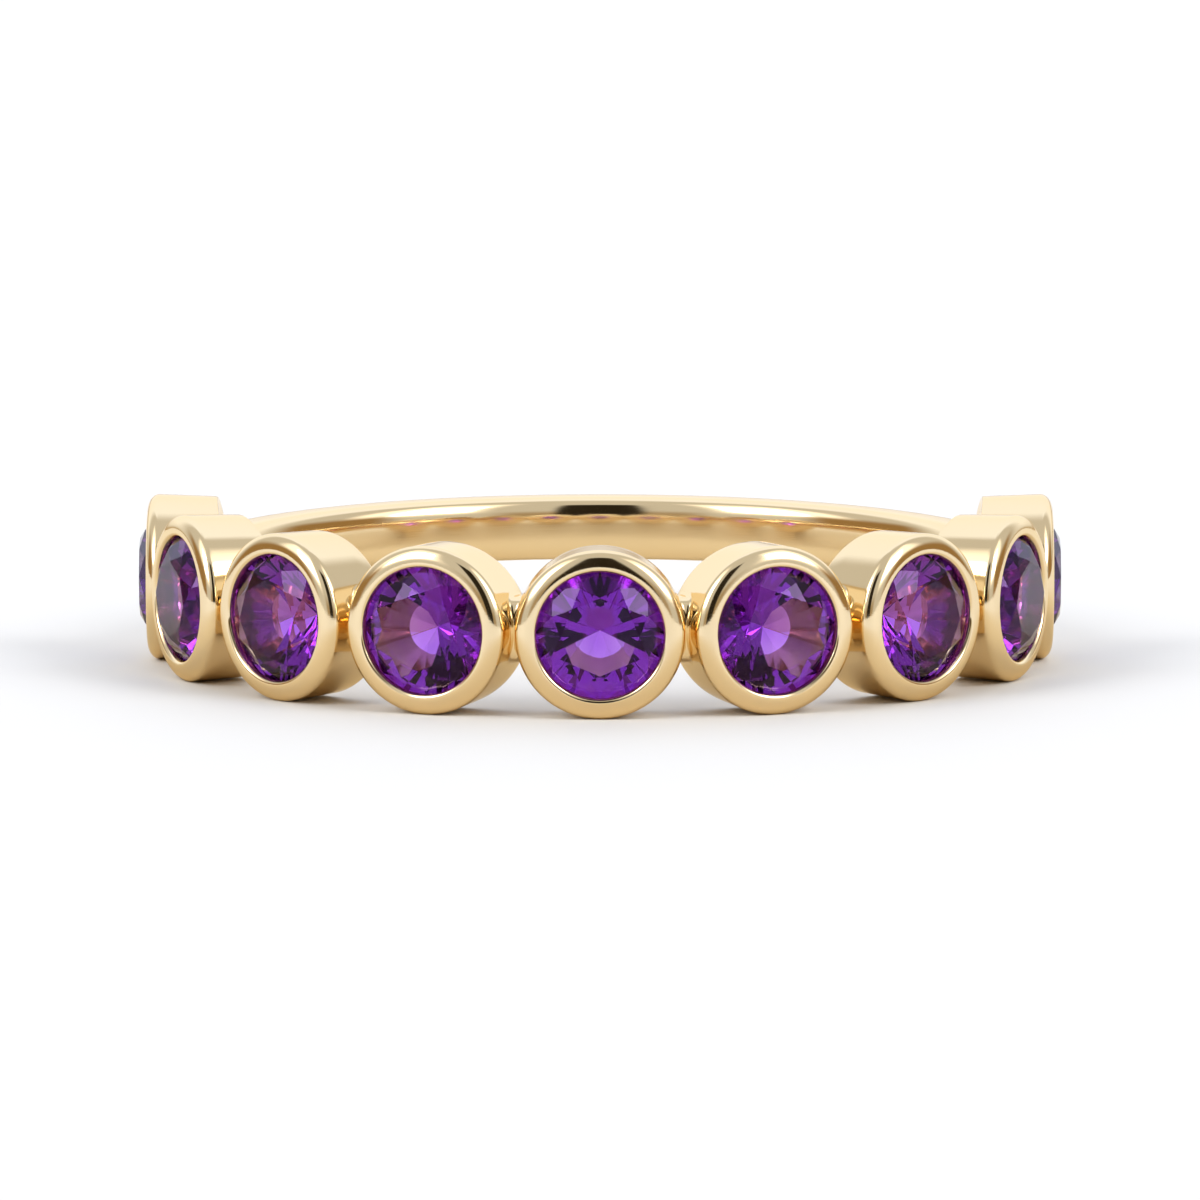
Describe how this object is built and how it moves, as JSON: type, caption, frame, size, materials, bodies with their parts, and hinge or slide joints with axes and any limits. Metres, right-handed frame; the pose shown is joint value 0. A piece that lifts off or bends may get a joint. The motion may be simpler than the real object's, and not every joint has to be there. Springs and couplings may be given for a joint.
{
  "type": "half eternity ring",
  "caption": "Finger ring with a plain domed band and round faceted stones in bezel cups along its front half.",
  "frame": {"origin": "on the finger axis, at the height of the surface that the ring lies on", "axes": "+Z along the finger axis, -Y from the finger axis to the middle stone, +X across the ring"},
  "size_m": [0.0212, 0.0205, 0.0038],
  "materials": {
    "gold": "polished 14 carat yellow gold",
    "amethyst": "polished facets"
  },
  "bodies": {
    "root": {"ring_body": "gold", "stone_1": "amethyst", "stone_2": "amethyst", "stone_3": "amethyst", "stone_4": "amethyst", "stone_5": "amethyst", "stone_6": "amethyst", "stone_7": "amethyst", "stone_8": "amethyst", "stone_9": "amethyst"}
  },
  "joints": []
}
